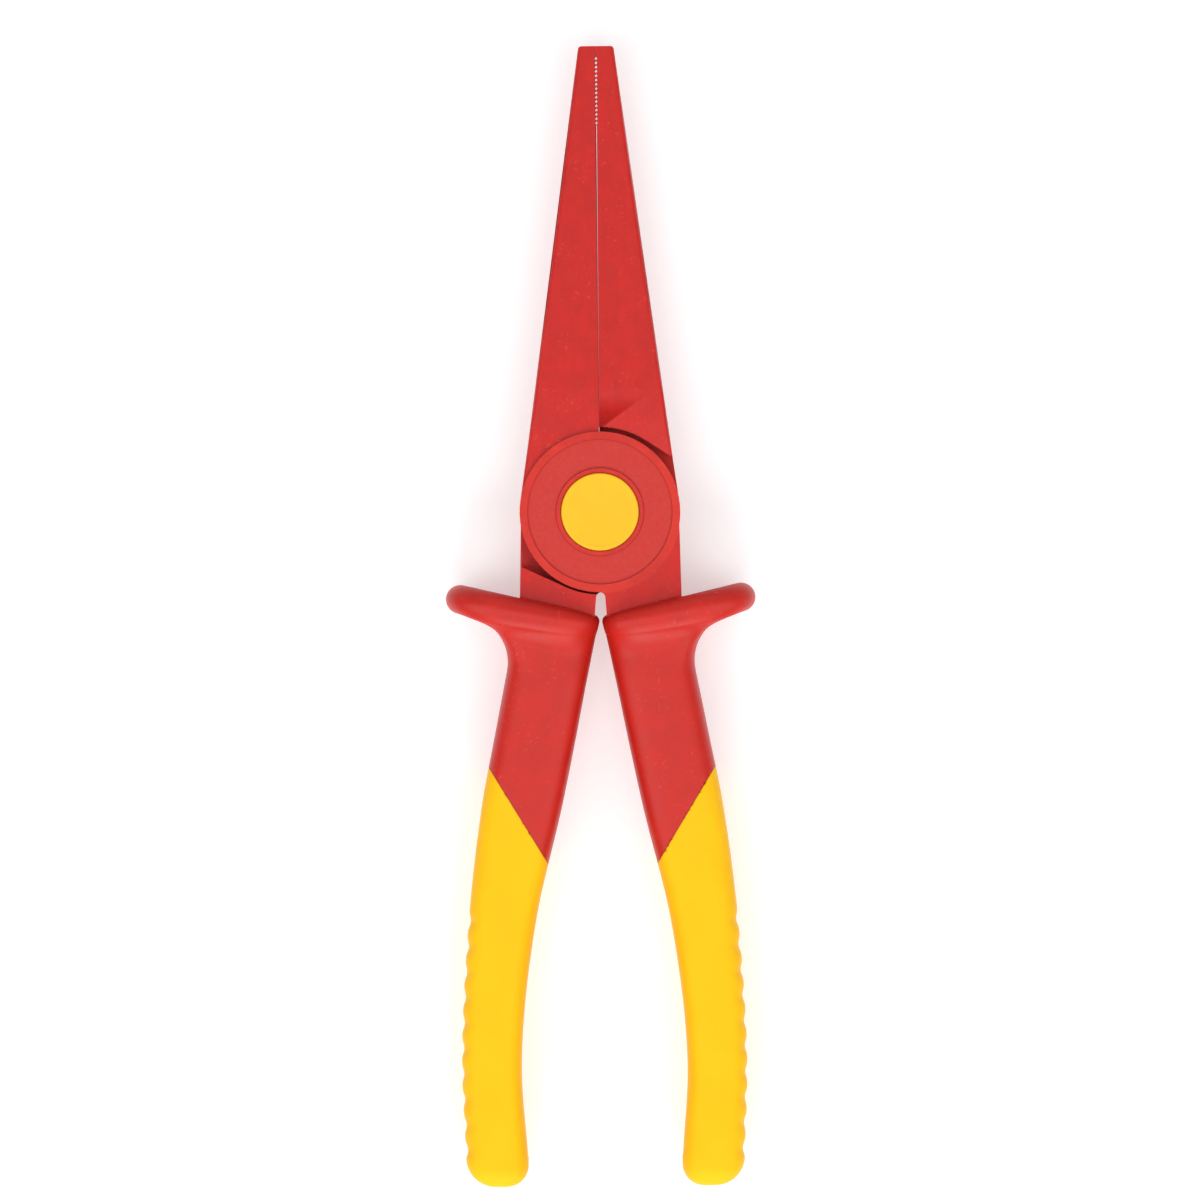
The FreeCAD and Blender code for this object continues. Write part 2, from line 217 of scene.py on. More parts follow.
class Finish:
    """One material: its nodes are all made by node()."""

    def __init__(self, name, **constants):
        self.material = bpy.data.materials.new(name)
        self.material.use_nodes = True
        self.tree = self.material.node_tree
        self.shader = self.tree.nodes["Principled BSDF"]
        for socket, value in constants.items():
            self.shader.inputs[socket.replace("_", " ")].default_value = value
        self.place = self.node("ShaderNodeTexCoord", {}, {}, "Object")

    def node(self, kind, settings, inputs, output=0):
        made = self.tree.nodes.new(kind)
        for key, value in settings.items():
            setattr(made, key, value)
        pairs = inputs.items() if isinstance(inputs, dict) else enumerate(inputs)
        for key, value in pairs:
            if isinstance(value, Wire):
                self.tree.links.new(value.socket, made.inputs[key])
            else:
                made.inputs[key].default_value = value
        return Wire(self, made.outputs[output])

    def noise(self, scale, detail=2.0, stretch=(1, 1, 1), roughness=0.5):
        """Cloudy pattern from 0 to 1; scale is in cells per metre."""
        place = self.place
        if stretch != (1, 1, 1):
            place = self.node("ShaderNodeMapping", {}, {"Vector": place, "Scale": stretch})
        return self.node("ShaderNodeTexNoise", {}, {
            "Vector": place, "Scale": scale, "Detail": detail, "Roughness": roughness,
        })

    def spots(self, scale, size):
        """Scattered round spots: 1 at their middle."""
        distance = self.node("ShaderNodeTexVoronoi", {}, {"Vector": self.place, "Scale": scale})
        return self.step(distance, size, size * 0.35)

    def step(self, value, start, end):
        """0 at start, 1 at end, eased between them."""
        return self.node("ShaderNodeMapRange", {"interpolation_type": "SMOOTHSTEP"}, {
            "Value": value, "From Min": start, "From Max": end,
        })

    def mix(self, share, first, second):
        """From the first colour at 0 to the second at 1."""
        tint = {MIX_FIRST: first, MIX_SECOND: second}
        for key, value in tint.items():
            if not isinstance(value, Wire):
                tint[key] = (*value, 1.0)
        settings = {"data_type": "RGBA", "clamp_factor": True}
        return self.node("ShaderNodeMix", settings, {0: share, **tint}, MIX_RESULT)

    def axis(self, letter):
        """One coordinate of the piece's own place, in metres."""
        return self.node("ShaderNodeSeparateXYZ", {}, {0: self.place}, letter)

    def from_pivot(self):
        """Distance from the pivot axis, in metres."""
        flat = self.node(
            "ShaderNodeVectorMath", {"operation": "MULTIPLY"}, [self.place, (1, 1, 0)]
        )
        return self.node("ShaderNodeVectorMath", {"operation": "LENGTH"}, [flat], "Value")

    def from_lap(self):
        """Distance from the lap plane, in metres."""
        return abs(self.axis("Z") - LAP_PLANE)

    def from_seam(self):
        """Distance from the slanting line where the shell meets the grip, in metres."""
        grip = bpy.context.scene.pliers_grips
        across = abs(self.axis("X")) - SEAM_X
        along = self.axis("Y") + grip.start
        return abs(along * math.cos(grip.slant) - across * math.sin(grip.slant))

    def finish(self, tint, roughness, relief, depth):
        """Wire up what changes over the surface; depth is the relief's height in metres."""
        bump = self.node("ShaderNodeBump", {}, {
            "Height": relief, "Distance": depth, "Strength": 1.0,
        })
        for socket, wire in (("Base Color", tint), ("Roughness", roughness), ("Normal", bump)):
            self.tree.links.new(wire.socket, self.shader.inputs[socket])
        return self.material


def shade(tint, factor):
    return tuple(min(1.0, channel * factor) for channel in tint)


def lever_finish(finishes):
    """Glass-filled plastic: matt, faintly streaked along the jaws, with pale fibre flecks."""
    red = tuple(finishes.lever_red)
    make = Finish("glass_filled_red_plastic", IOR=1.5, Specular_IOR_Level=0.29)
    clouds = make.step(make.noise(260, 3.0), 0.32, 0.68)
    streaks = make.step(make.noise(900, 2.0, stretch=(1, 0.16, 1)), 0.35, 0.72)
    tint = make.mix(clouds, shade(red, 0.93), shade(red, 1.05))
    tint = make.mix(streaks * 0.35, tint, shade(red, 0.86))
    patches = make.step(make.noise(170, 1.0), 0.5, 0.66)
    flecks = make.step(make.noise(1500, 1.0), 0.61, 0.74) * (0.25 + 0.75 * patches)
    tint = make.mix(flecks * 0.28, tint, tuple(finishes.fleck))
    grain = make.noise(2600, 2.0)
    # Sunk ring of the joint: spark-eroded, so paler, mottled and duller
    away = make.from_pivot()
    face = make.step(make.from_lap(), LAP_PLANE - 0.5 * MM, LAP_PLANE - 0.4 * MM)
    ring = make.step(away, COLLAR_RADIUS - 0.1 * MM, COLLAR_RADIUS + 0.15 * MM) * face
    ring = ring * make.step(away, RIM_RADIUS + 0.1 * MM, RIM_RADIUS - 0.1 * MM)
    mottle = make.noise(1100, 4.0, roughness=0.7)
    tint = make.mix(ring * 0.85, tint, make.mix(mottle, RING_DARK, RING_PALE))
    # Rim and collar: a painted highlight in a brighter red, and a little smoother
    proud = make.step(make.from_lap(), LAP_PLANE - 0.12 * MM, LAP_PLANE - 0.04 * MM)
    highlight_rims = make.step(away, RIM_RADIUS - 0.1 * MM, RIM_RADIUS + 0.1 * MM)
    highlight_rims = highlight_rims * make.step(away, BOSS_RADIUS + 0.4 * MM, BOSS_RADIUS + 0.1 * MM)
    collar = make.step(away, COLLAR_RADIUS + 0.05 * MM, COLLAR_RADIUS - 0.1 * MM)
    highlight_rims = (highlight_rims + collar) * proud
    tint = make.mix(highlight_rims * (0.35 + 0.45 * clouds), tint, PAINTED_HIGHLIGHT_RED)
    # Corners of the sunk ring: painted shade, a darker red
    crease_shade = make.step(abs(away - RIM_RADIUS), 0.18 * MM, 0.05 * MM)
    crease_shade = crease_shade + make.step(abs(away - COLLAR_RADIUS), 0.18 * MM, 0.05 * MM)
    low = make.step(make.from_lap(), LAP_PLANE - 0.08 * MM, LAP_PLANE - 0.2 * MM)
    tint = make.mix(crease_shade * low * 0.65, tint, PAINTED_CREASE_SHADE)
    roughness = 0.40 + clouds * 0.07 + ring * 0.14 - highlight_rims * 0.08 + grain * 0.05
    relief = grain * (0.5 + 0.5 * ring) + make.noise(500, 2.0) * 0.6
    return make.finish(tint, roughness, relief, 0.034 * MM)


def shell_finish(finishes):
    """Smoother, brighter red of the handle shells and guards."""
    red = tuple(finishes.shell_red)
    make = Finish("smooth_red_plastic", IOR=1.5, Specular_IOR_Level=0.31)
    clouds = make.step(make.noise(200, 3.0), 0.3, 0.7)
    tint = make.mix(clouds, shade(red, 0.95), shade(red, 1.04))
    patches = make.step(make.noise(150, 1.0), 0.42, 0.62)
    flecks = make.step(make.noise(1300, 1.0), 0.62, 0.76) * (0.2 + 0.8 * patches)
    tint = make.mix(flecks * 0.28, tint, tuple(finishes.fleck))
    meeting = make.step(make.from_seam(), 0.22 * MM, 0.08 * MM)
    tint = make.mix(meeting * 0.7, tint, SEAM_RED)
    seam = make.step(make.from_lap(), 0.10 * MM, 0.03 * MM)
    roughness = 0.39 + clouds * 0.07 + flecks * 0.06
    relief = make.noise(750, 2.0) * 0.8 + make.noise(2600, 1.0) * 0.25 + seam * 0.9
    return make.finish(tint, roughness, relief, 0.016 * MM)


def grip_finish(finishes):
    """Soft yellow grip: satin, with a fine skin grain."""
    yellow = tuple(finishes.grip_yellow)
    make = Finish("soft_yellow_grip", IOR=1.45, Specular_IOR_Level=0.2)
    clouds = make.step(make.noise(120, 3.0), 0.3, 0.7)
    tint = make.mix(clouds, GRIP_SHADE, yellow)
    meeting = make.step(make.from_seam(), 0.18 * MM, 0.06 * MM)
    tint = make.mix(meeting * 0.5, tint, SEAM_YELLOW)
    grain = make.noise(2300, 3.0, roughness=0.6)
    pits = make.spots(1500, 0.34)
    seam = make.step(make.from_lap(), 0.12 * MM, 0.04 * MM)
    roughness = 0.50 + grain * 0.12 + clouds * 0.04
    relief = grain * 0.8 - pits * 0.4 + seam * 0.8
    return make.finish(tint, roughness, relief, 0.022 * MM)


def cap_finish(finishes):
    """Harder yellow plastic of the pivot caps."""
    make = Finish("yellow_cap_plastic", IOR=1.5, Specular_IOR_Level=0.22)
    yellow = tuple(finishes.cap_yellow)
    clouds = make.step(make.noise(300, 2.0), 0.3, 0.7)
    tint = make.mix(clouds, shade(yellow, 0.965), yellow)
    # Painted shade around the lid's edge, a little deeper in colour
    edge = make.step(make.from_pivot(), CAP_HIGH.x - 0.12 * MM, CAP_HIGH.x + 0.1 * MM)
    tint = make.mix(edge * 0.75, tint, CAP_EDGE_SHADE)
    grain = make.noise(2400, 2.0)
    roughness = 0.36 + grain * 0.10
    return make.finish(tint, roughness, grain + clouds * 0.5, 0.014 * MM)


def pivot_finish():
    """Hard dark plastic of the hollow bolt and its sleeve."""
    make = Finish("dark_pivot_plastic", IOR=1.5)
    rings = make.noise(900, 2.0, stretch=(1, 1, 0.2))
    tint = make.mix(rings, PIVOT_DARK, PIVOT_PALE)
    return make.finish(tint, 0.38 + rings * 0.15, rings, 0.01 * MM)


def floor_finish():
    """Pale matt board under the tool."""
    make = Finish(
        "pale_board", Specular_IOR_Level=0.2, Emission_Color=(1.0, 1.0, 1.0, 1.0),
        Emission_Strength=BOARD_GLOW,
    )
    clouds = make.noise(9, 3.0)
    tint = make.mix(clouds, BOARD_DARK, BOARD_PALE)
    return make.finish(tint, 0.72 + clouds * 0.1, make.noise(900, 2.0), 0.01 * MM)


# -----------------------------------------------------------------------------------------
# Piece helpers
# -----------------------------------------------------------------------------------------

def turn_over(bm):
    """Half a turn about the tool's length, through the lap plane."""
    centre = Vector((0, 0, LAP_PLANE))
    bmesh.ops.rotate(bm, verts=bm.verts, cent=centre, matrix=Matrix.Rotation(math.pi, 3, "Y"))


def add_piece(bm, name, body, node, material, sharp):
    """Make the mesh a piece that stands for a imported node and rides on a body."""
    bmesh.ops.recalc_face_normals(bm, faces=bm.faces)
    fix_order(bm)
    mesh = bpy.data.meshes.new(name)
    bm.to_mesh(mesh)
    bm.free()
    mesh.shade_smooth()
    mesh.set_sharp_from_angle(angle=math.radians(sharp))
    mesh.materials.append(material)
    piece = bpy.data.objects.new(name, mesh)
    bpy.context.scene.collection.objects.link(piece)
    weighted = piece.modifiers.new("Flat faces", "WEIGHTED_NORMAL")
    weighted.keep_sharp = True
    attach(piece, body)
    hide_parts(node)


def fix_order(bm):
    """Sort points, edges and faces by place, so that every run gives the same mesh."""
    def place(item):
        return sorted(vert.co[:] for vert in getattr(item, "verts", [item]))

    for items in (bm.verts, bm.edges, bm.faces):
        rank = {item: number for number, item in enumerate(sorted(items, key=place))}
        items.sort(key=rank.get)


def clean_up(bm):
    """Merge the slivers that a bevel leaves at tight corners."""
    bmesh.ops.remove_doubles(bm, verts=bm.verts, dist=SLIVER)
    bmesh.ops.dissolve_degenerate(bm, edges=bm.edges, dist=SNAP)


def both_sides(draw, name, node, material, sharp, bodies=LEVER_BODIES):
    """The drawn piece at the front, and turned over at the back."""
    for side, body in bodies.items():
        bm = draw()
        if side == "back":
            turn_over(bm)
        add_piece(bm, f"{side}_{name}", body, f"{side}_{node}", material, sharp)


def clamp(value):
    return max(0.0, min(1.0, value))


def ease(share):
    """A smooth start and end for a share from 0 to 1."""
    return share * share * (3 - 2 * share)


# -----------------------------------------------------------------------------------------
# Levers
# -----------------------------------------------------------------------------------------

# Faces that meet at less than the first are one; edges that turn past the second are moulded
FLAT_ANGLE, MOULDED_ANGLE = math.radians(0.6), math.radians(28)

# Where the teeth, the bore, the tang and the jaws' inner faces are
BORE_RADIUS = 8.0 * MM
TANG_TOP_Y = -18.5 * MM
TEETH_FROM_Y, TEETH_REACH = 70 * MM, 0.8 * MM
JAW_FROM_Y, INNER_FACE_REACH = 16 * MM, 0.25 * MM

# Points of the neck this near the plane of the guard's top belong to it
TOP_REACH = 0.01 * MM

# Inner faces of the jaws: eased back on a lever's own half, and kept off the centreline past it
NEAR_RELIEF, FAR_GAP = 0.03 * MM, 0.004 * MM


def draw_lever(sizes, handles, node):
    """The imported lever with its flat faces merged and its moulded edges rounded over."""
    bm = bmesh.new()
    bm.from_mesh(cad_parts[node].data)
    bmesh.ops.remove_doubles(bm, verts=bm.verts, dist=MERGE)
    bmesh.ops.dissolve_limit(bm, angle_limit=FLAT_ANGLE, verts=bm.verts, edges=bm.edges)
    sink_root(bm, sizes.root, handles)
    add_draft(bm, sizes.draft)
    soft = [edge for edge in bm.edges if is_moulded_edge(edge)]
    bmesh.ops.bevel(
        bm, geom=soft, affect="EDGES", offset=sizes.edge_round, segments=3,
        profile=0.5, material=-1, clamp_overlap=True,
    )
    clean_up(bm)
    return bm


def sink_root(bm, depth, handles):
    """Run the neck on into the guard, so that no gap shows at the guard's rounded top."""
    half = handles.guard_width / 2
    slope = handles.guard_slope
    for vert in bm.verts:
        side = 1 if vert.co.x > 0 else -1
        onward = Vector((-math.sin(slope) * side, math.cos(slope), 0))
        free_end = Vector(((GUARD_REACH * MM - half) * side, GUARD_END_Y * MM, 0))
        top = free_end + onward * half
        place = Vector((vert.co.x, vert.co.y, 0))
        if abs((place - top).dot(onward)) < TOP_REACH:
            vert.co -= onward * depth


def add_draft(bm, lean):
    """Mould draft: past the lap plane, a jaw's inner face leans towards the other jaw."""
    bmesh.ops.bisect_plane(
        bm, geom=bm.verts[:] + bm.edges[:] + bm.faces[:], dist=SNAP,
        plane_co=(0, 0, LAP_PLANE), plane_no=(0, 0, 1),
    )
    for vert in bm.verts:
        x, y, z = vert.co
        if abs(x) > INNER_FACE_REACH or y < JAW_FROM_Y:
            continue
        side = 1 if x > 0 else -1
        beyond = side * (z - LAP_PLANE) > -MERGE
        gap = max(FAR_GAP, abs(x) - lean) if beyond else abs(x) + NEAR_RELIEF
        vert.co.x = side * gap


def is_moulded_edge(edge):
    """Crisp edges that show, apart from the teeth, the bore and the hidden tang."""
    if len(edge.link_faces) != 2 or edge.calc_face_angle() < MOULDED_ANGLE:
        return False
    middle = (edge.verts[0].co + edge.verts[1].co) / 2
    tooth = abs(middle.x) < TEETH_REACH and middle.y > TEETH_FROM_Y
    hidden = middle.xy.length < BORE_RADIUS or middle.y < TANG_TOP_Y
    return not tooth and not hidden


# -----------------------------------------------------------------------------------------
# Handles
# -----------------------------------------------------------------------------------------

# Sides of a handle in millimetres, from the guard to the heel
OUTER_KNOTS = [
    (18.15, -30.2), (20.75, -43.4), (23.2, -56.0), (26.05, -79.1), (27.55, -106.1),
    (26.9, -124.5), (26.7, -131.0),
]
INNER_KNOTS = [
    (-0.99, -13.0), (7.6, -56.0), (13.05, -79.1), (16.0, -106.1), (14.85, -126.0),
    (14.7, -131.0),
]
HEEL_Y = -130.1
HEEL_OUTER, HEEL_OUTER_ROUND = 26.9, 5.6
HEEL_INNER, HEEL_INNER_ROUND = 14.85, 4.1
HEEL_RIM_ROUND = 3.4
HEEL_RINGS = 16
HEEL_BLEND = 14.0

# Rings: points around each, gaps between them, and how many climb each half of the guard
AROUND = 96
GRIP_RING_GAP, SHELL_RING_GAP, LAST_RING_GAP = 0.42, 0.9, 0.6
SEAM_RISE = 14.0
LEAN_FROM_Y = -60.0
GUARD_RINGS = 22

# Guard: squareness of its inner and free ends, where the brow starts and ends in degrees,
# and where its rounding starts on the inner side
GUARD_SQUARE = (4.2, 3.1)
BROW_START, BROW_END = 31.0, 62.0
ROLL_STEP, ROLL_DROP = 0.12, 1.0

# Hollow under the guard's free end: where its curve's middle lies, and the lean at its foot
FLARE_X = -2.82
FLARE_FOOT = 10.7

# Hollows of the grip: the first one above the heel, their shape, and where they fade out
FIRST_SCALLOP = 7.2
SCALLOP_POWER = 1.5
SCALLOP_FADE, SCALLOP_FULL = 0.5, 0.95

# How quickly a section's lift fades from its faces to its sides
FACING_POWER = 4


def smooth_x(knots, y):
    """Distance from the centreline at height y, on a smooth line through the knots."""
    def lean(first, second):
        return (second[0] - first[0]) / (second[1] - first[1])

    last = len(knots) - 2
    piece = 0
    while piece < last and y < knots[piece + 1][1]:
        piece += 1
    here, there = knots[piece], knots[piece + 1]
    chord = lean(here, there)
    before = lean(knots[piece - 1], here) if piece else chord
    after = lean(there, knots[piece + 2]) if piece < last else chord
    start = (before + chord) / 2
    end = (chord + after) / 2
    span = there[1] - here[1]
    t = (y - here[1]) / span
    return (
        here[0] + (there[0] - here[0]) * ease(t)
        + span * start * t * (1 - t) ** 2
        - span * end * t * t * (1 - t)
    )


def spread(points, count):
    """The same number of steps along any open line of points, evenly spaced."""
    lengths = [0.0]
    for first, second in zip(points, points[1:]):
        lengths.append(lengths[-1] + math.dist(first, second))
    found = []
    for step in range(count + 1):
        goal = lengths[-1] * step / count
        part = 0
        while part < len(points) - 2 and lengths[part + 1] < goal:
            part += 1
        gap = lengths[part + 1] - lengths[part]
        share = (goal - lengths[part]) / gap if gap else 0.0
        found.append(tuple(
            a + (b - a) * share for a, b in zip(points[part], points[part + 1])
        ))
    return found


def arc_points(centre, radius, start, end, count=24):
    """Points on an arc, from one angle to another, in degrees."""
    found = []
    for step in range(count + 1):
        turn = math.radians(start + (end - start) * step / count)
        found.append((
            centre[0] + radius * math.cos(turn), centre[1] + radius * math.sin(turn)
        ))
    return found


class Section:
    """A closed section of the handle: its two sides, its half thickness and its corners."""

    def __init__(self, inner, outer, half, square, lift=(0.0, 0.0), scallop=0.0):
        self.inner = Vector(inner)
        self.outer = Vector(outer)
        self.half = half
        self.lift = Vector(lift)
        self.square = square
        self.scallop = scallop

    def point(self, number):
        """One point around the section, in millimetres about the lap plane."""
        turn = 2 * math.pi * number / AROUND
        across, up = math.cos(turn), math.sin(turn)
        power = self.square[1] if across > 0 else self.square[0]
        reach = (abs(across) ** power + abs(up) ** power) ** (-1 / power)
        across *= reach
        up *= reach
        middle = (self.inner + self.outer) / 2
        place = middle + (self.outer - self.inner) / 2 * across
        facing, aside = abs(up) ** FACING_POWER, abs(across) ** FACING_POWER
        place += self.lift * (facing / (facing + aside))
        if self.scallop:
            share = clamp((across - SCALLOP_FADE) / (SCALLOP_FULL - SCALLOP_FADE))
            inward = (self.inner - self.outer).normalized()
            place += inward * self.scallop * ease(share)
        return Vector((place.x, place.y, self.half * up))


def handle_sections(sizes, grip):
    """Sections from the heel up to the top of the guard, in millimetres."""
    half = sizes.thickness / MM / 2
    square = (sizes.squareness, sizes.squareness)
    slope = sizes.guard_slope
    along = Vector((math.cos(slope), math.sin(slope)))
    onward = Vector((-math.sin(slope), math.cos(slope)))
    roll = sizes.guard_width / MM / 2
    crest = sizes.guard_height / MM / 2
    flare = sizes.flare_radius / MM
    crown = sizes.guard_crown / MM
    brow = sizes.guard_brow / MM
    shoulder = sizes.guard_shoulder
    origin = Vector((GUARD_REACH - roll, GUARD_END_Y))
    inner_end = (GUARD_INNER_X - origin.x) / math.cos(slope)

    def on_guard(point):
        return origin + along * point[0] + onward * point[1]

    # Hollow at the outer side, from the handle's edge to the underside of the guard
    flare_centre = (FLARE_X, -roll - flare)
    foot_turn = 180 + FLARE_FOOT - math.degrees(slope)
    outer_rise = arc_points(flare_centre, flare, foot_turn, 90) + [(0.0, -roll)]
    outer_roll = arc_points((0.0, 0.0), roll, -90, 90)
    start = outer_rise[0][1]

    # Front: up a hollow shoulder to a crease, round the brow and over the guard's crown
    turn, fall = math.radians(BROW_START), math.radians(BROW_END)
    brow_centre = (
        -(crown - brow) * math.sin(turn), crest - crown + (crown - brow) * math.cos(turn)
    )
    crease = (
        brow_centre[0] - brow * math.sin(fall), brow_centre[1] + brow * math.cos(fall)
    )
    hollow = (crease[1] - half) / (1 - math.cos(shoulder))
    foot = (crease[0] - hollow * math.sin(shoulder), half + hollow)
    front_rise = [(start, half)] + arc_points(foot, hollow, -90, math.degrees(shoulder) - 90)
    front_roll = arc_points(brow_centre, brow, 90 + BROW_END, 90 + BROW_START, count=8)
    front_roll += arc_points((0.0, crest - crown), crown, 90 + BROW_START, 90)[1:]
    front_roll += arc_points((0.0, crest - roll), roll, 90, 0)[1:]

    # Inner side: the handle's own edge, then the guard's end with a tighter top corner
    corner = sizes.guard_corner / MM
    inner_top = (inner_end + ROLL_STEP, -ROLL_DROP)
    low = on_guard((outer_rise[0][0], start))
    from_origin = line_meets(INNER_KNOTS, low, slope) - origin
    inner_rise = [(from_origin.dot(along), from_origin.dot(onward)), inner_top]
    inner_roll = [inner_top, (inner_end, 0.0)]
    inner_roll += arc_points((inner_end + corner, roll - corner), corner, 180, 90)

    sections = handle_run(half, square, slope, low, grip)
    for rising, lines in (
        (True, (outer_rise, front_rise, inner_rise)),
        (False, (outer_roll, front_roll, inner_roll)),
    ):
        outer, front, inner = (spread(points, GUARD_RINGS) for points in lines)
        for step in range(1, GUARD_RINGS + 1):
            share = ease(step / GUARD_RINGS) if rising else 1.0
            middle = (outer[step][1] + inner[step][1]) / 2
            sections.append(Section(
                on_guard(inner[step]), on_guard(outer[step]), front[step][1],
                tuple(a + (b - a) * share for a, b in zip(square, GUARD_SQUARE)),
                lift=onward * (front[step][0] - middle),
            ))
    return sections


def line_meets(knots, through, slope):
    """Where a slanting line through a point meets a side of the handle."""
    y = through.y
    for _ in range(6):
        x = smooth_x(knots, y)
        y = through.y + (x - through.x) * math.tan(slope)
    return Vector((smooth_x(knots, y), y))


def handle_run(half, square, guard_slope, top, grip):
    """Sections from the heel to the foot of the guard's flare."""
    sections = []
    for step in range(HEEL_RINGS + 1):
        turn = math.radians(90 * step / HEEL_RINGS)
        up = HEEL_OUTER_ROUND * (1 - math.cos(turn))
        sections.append(heel_section(up, half, square))
    y = HEEL_Y + HEEL_OUTER_ROUND
    stop = top.y + (middle_x(top.y) - top.x) * math.tan(guard_slope)
    seam_top = -grip.start / MM + SEAM_RISE
    while y < stop - LAST_RING_GAP:
        y = min(y + (GRIP_RING_GAP if y < seam_top else SHELL_RING_GAP), stop)
        share = ease(clamp((y - LEAN_FROM_Y) / (stop - LEAN_FROM_Y)))
        slope = handle_slope(y) * (1 - share) + guard_slope * share
        slope *= clamp((y - HEEL_Y - HEEL_OUTER_ROUND) / HEEL_BLEND)
        centre = Vector((middle_x(y), y))
        outer = line_meets(OUTER_KNOTS, centre, slope)
        inner = line_meets(INNER_KNOTS, centre, slope)
        scallop = scallop_depth(outer.y, grip)
        sections.append(Section(inner, outer, half, square, scallop=scallop))
    return sections


def middle_x(y):
    """Distance from the centreline to the handle's middle line at height y."""
    return (smooth_x(INNER_KNOTS, y) + smooth_x(OUTER_KNOTS, y)) / 2


def handle_slope(y, reach=2.0):
    """Slope of a section square to the handle's middle line."""
    return math.atan((middle_x(y - reach) - middle_x(y + reach)) / (2 * reach))


def heel_section(up, half, square):
    """Section at a height above the end, within the rounded heel."""
    def corner(radius):
        inside = max(0.0, radius - up)
        return radius - math.sqrt(radius * radius - inside * inside)

    y = HEEL_Y + up
    inner = (HEEL_INNER + corner(HEEL_INNER_ROUND), y)
    outer = (HEEL_OUTER - corner(HEEL_OUTER_ROUND), y)
    return Section(inner, outer, half - corner(HEEL_RIM_ROUND), square)


def scallop_depth(y, grip):
    """How deep the outer edge is hollowed at a height: wide crests and narrow hollows."""
    place = (y - HEEL_Y - FIRST_SCALLOP) / (grip.scallop_pitch / MM)
    if not -0.5 < place < grip.scallop_count - 0.5:
        return 0.0
    wave = 0.5 + 0.5 * math.cos(2 * math.pi * place)
    return grip.scallop_depth / MM * wave ** SCALLOP_POWER


def draw_blank(sizes, grip):
    """Handle with its guard, from the heel to the guard's top, as one closed skin."""
    sections = handle_sections(sizes, grip)
    bm = bmesh.new()
    ring = bmesh.ops.create_circle(bm, segments=AROUND, radius=1.0)["verts"]
    for number, vert in enumerate(ring):
        vert.co = sections[0].point(number)
    edges = list(bm.edges)
    bmesh.ops.contextual_create(bm, geom=edges)
    for section in sections[1:]:
        made = bmesh.ops.extrude_edge_only(bm, edges=edges)["geom"]
        edges = [item for item in made if isinstance(item, bmesh.types.BMEdge)]
        verts = ordered_ring(edges, ring)
        for number, vert in enumerate(verts):
            vert.co = section.point(number)
        ring = verts
    bmesh.ops.contextual_create(bm, geom=edges)
    bmesh.ops.scale(bm, verts=bm.verts, vec=(MM, MM, MM))
    bmesh.ops.translate(bm, verts=bm.verts, vec=(0, 0, LAP_PLANE))
    bmesh.ops.recalc_face_normals(bm, faces=bm.faces)
    fix_order(bm)
    return bm


def ordered_ring(edges, below):
    """The new ring's corners, in the order of the ring that they were drawn from."""
    fresh = {vert for edge in edges for vert in edge.verts}
    return [
        next(edge.other_vert(vert) for edge in vert.link_edges if edge.other_vert(vert) in fresh)
        for vert in below
    ]


def part_blank(bm, grip, keep_grip):
    """Keep the grip or the shell of the blank, closed along the seam and softened there."""
    middle = Vector((SEAM_X, -grip.start, 0))
    across = Vector((-math.sin(grip.slant), math.cos(grip.slant), 0))
    cut = bmesh.ops.bisect_plane(
        bm, geom=bm.verts[:] + bm.edges[:] + bm.faces[:], dist=SNAP,
        plane_co=middle, plane_no=across, clear_outer=keep_grip, clear_inner=not keep_grip,
    )["geom_cut"]
    rim = [item for item in cut if isinstance(item, bmesh.types.BMEdge)]
    bmesh.ops.contextual_create(bm, geom=rim)
    rim = [
        edge for edge in bm.edges
        if all(abs((vert.co - middle).dot(across)) < MERGE for vert in edge.verts)
        and len(edge.link_faces) == 2
    ]
    bmesh.ops.bevel(
        bm, geom=rim, affect="EDGES", offset=grip.seam_round, segments=2,
        profile=0.5, material=-1, clamp_overlap=True,
    )
    clean_up(bm)
    return bm


# -----------------------------------------------------------------------------------------
# Pivot caps
# -----------------------------------------------------------------------------------------

def draw_cap(sizes):
    """Lid with a rounded edge, a barely sunk face and a short stub below."""
    radius = CAP_HIGH.x + sizes.spread
    top, bottom = CAP_HIGH.z, CAP_LOW.z
    soft, stub, chamfer = sizes.edge_round, sizes.stub_radius, sizes.stub_chamfer
    rim_start = radius - soft - sizes.rim
    profile = [(0.0, top - sizes.dish), (rim_start - sizes.rim_slope, top - sizes.dish)]
    profile += [(rim_start, top)]
    profile += arc_points((radius - soft, top - soft), soft, 90, 0, count=6)
    profile += [
        (radius, top - sizes.lid), (stub, top - sizes.lid), (stub, bottom + chamfer),
        (stub - chamfer, bottom), (0.0, bottom),
    ]
    bm = bmesh.new()
    verts = [bm.verts.new((x, 0, z)) for x, z in profile]
    edges = [bm.edges.new(pair) for pair in zip(verts, verts[1:])]
    bmesh.ops.spin(
        bm, geom=verts + edges, cent=(0, 0, 0), axis=(0, 0, 1), dvec=(0, 0, 0),
        angle=2 * math.pi, steps=96, use_merge=True,
    )
    bmesh.ops.remove_doubles(bm, verts=bm.verts, dist=MERGE)
    return bm


# -----------------------------------------------------------------------------------------
# Stage
# -----------------------------------------------------------------------------------------

